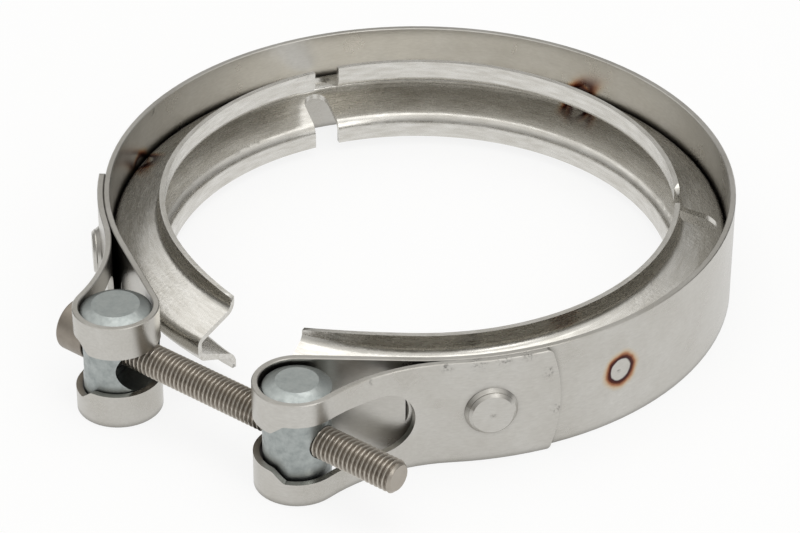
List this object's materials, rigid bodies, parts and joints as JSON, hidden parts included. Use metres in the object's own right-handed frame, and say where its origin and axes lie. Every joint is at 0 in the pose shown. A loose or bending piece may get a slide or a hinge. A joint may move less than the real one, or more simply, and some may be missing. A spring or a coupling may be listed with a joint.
{
  "type": "exhaust clamp",
  "caption": "V-band exhaust clamp: a sheet ring with folded end loops, a V-section retainer, barrel trunnions and a socket head cross screw.",
  "frame": {"origin": "centre of the ring, half way up the band", "axes": "+Z along the ring's axis, the opening and the cross screw at -Y, the screw's head at -X"},
  "size_m": [0.1564, 0.1752, 0.0284],
  "materials": {
    "band_steel": "satin",
    "retainer_steel": "polished",
    "trunnion_steel": "bright zinc",
    "screw_steel": "dark oiled"
  },
  "bodies": {
    "ring": {"band": "band_steel", "v_retainer": "retainer_steel"},
    "head_trunnion": {"head_trunnion": "trunnion_steel"},
    "screw_trunnion": {"screw_trunnion": "trunnion_steel"},
    "screw": {"clamp_screw": "screw_steel"}
  },
  "joints": [
    {"name": "screw_trunnion_turn", "type": "hinge", "parent": "ring", "child": "screw_trunnion", "pos_m": [0.0263, -0.0868, 0.0003], "axis": [0.0139, -0.0006, 0.9999], "range_deg": [0, 4.5]},
    {"name": "head_trunnion_turn", "type": "hinge", "parent": "ring", "child": "head_trunnion", "pos_m": [-0.0263, -0.0868, 0.0005], "axis": [0, 0, 1], "range_deg": [0, 4.5]},
    {"name": "screw_spin", "type": "hinge", "parent": "screw_trunnion", "child": "screw", "pos_m": [0.0263, -0.0868, 0.0003], "axis": [0.999, -0.0419, -0.014], "continuous": true}
  ],
  "couplings": [
    {"joint": "head_trunnion_turn", "follows": "screw_trunnion_turn", "ratio": 1}
  ]
}
